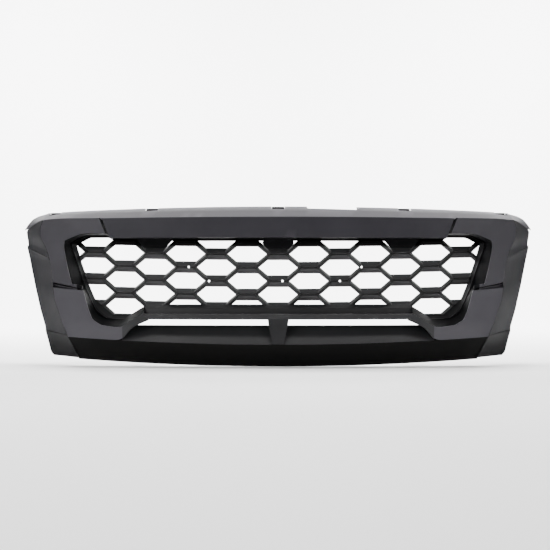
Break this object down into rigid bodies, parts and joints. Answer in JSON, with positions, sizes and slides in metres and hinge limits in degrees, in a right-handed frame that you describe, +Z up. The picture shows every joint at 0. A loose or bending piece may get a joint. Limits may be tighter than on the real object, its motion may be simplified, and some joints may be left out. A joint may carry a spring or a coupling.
{
  "type": "front grille",
  "caption": "Bowed pickup truck front grille with a honeycomb insert, sculpted corner panels, swept wings and two long air slots under the mesh.",
  "frame": {"origin": "centre of the middle clip hole in the top flange, on top of its seat, on the vehicle centreline", "axes": "+X across the vehicle to the right as seen from the front, +Y from the front face towards the engine bay, +Z up"},
  "size_m": [1.194, 0.1664, 0.3603],
  "materials": {
    "painted_bar": "satin",
    "dark_plastic": "matte",
    "mesh_plastic": "satin",
    "flange_plastic": "satin",
    "rubber": "matte",
    "foam": "matte",
    "zinc_steel": "zinc plated",
    "black_steel": "black e-coat"
  },
  "bodies": {
    "root": {"bracket_screws": "zinc_steel", "centre_post": "painted_bar", "cheek_bezel_left": "painted_bar", "cheek_bezel_right": "painted_bar", "clip_pads": "rubber", "corner_bezel_left": "painted_bar", "corner_bezel_right": "painted_bar", "corner_cap_left": "flange_plastic", "corner_cap_right": "flange_plastic", "groove_bead_left": "painted_bar", "groove_bead_right": "painted_bar", "honeycomb_insert": "mesh_plastic", "insert_screws": "zinc_steel", "lower_bar": "mesh_plastic", "lower_carrier": "dark_plastic", "lower_panel": "painted_bar", "lower_skirt": "dark_plastic", "mesh_tabs": "dark_plastic", "opening_reveal_left": "dark_plastic", "opening_reveal_right": "dark_plastic", "side_bracket_left": "black_steel", "side_bracket_right": "black_steel", "top_flange": "flange_plastic", "upper_bar": "painted_bar", "upper_carrier": "dark_plastic", "upper_seal": "foam", "wing_lower_left": "painted_bar", "wing_lower_right": "painted_bar", "wing_side_left": "painted_bar", "wing_side_right": "painted_bar", "wing_upper_left": "painted_bar", "wing_upper_right": "painted_bar"}
  },
  "joints": []
}
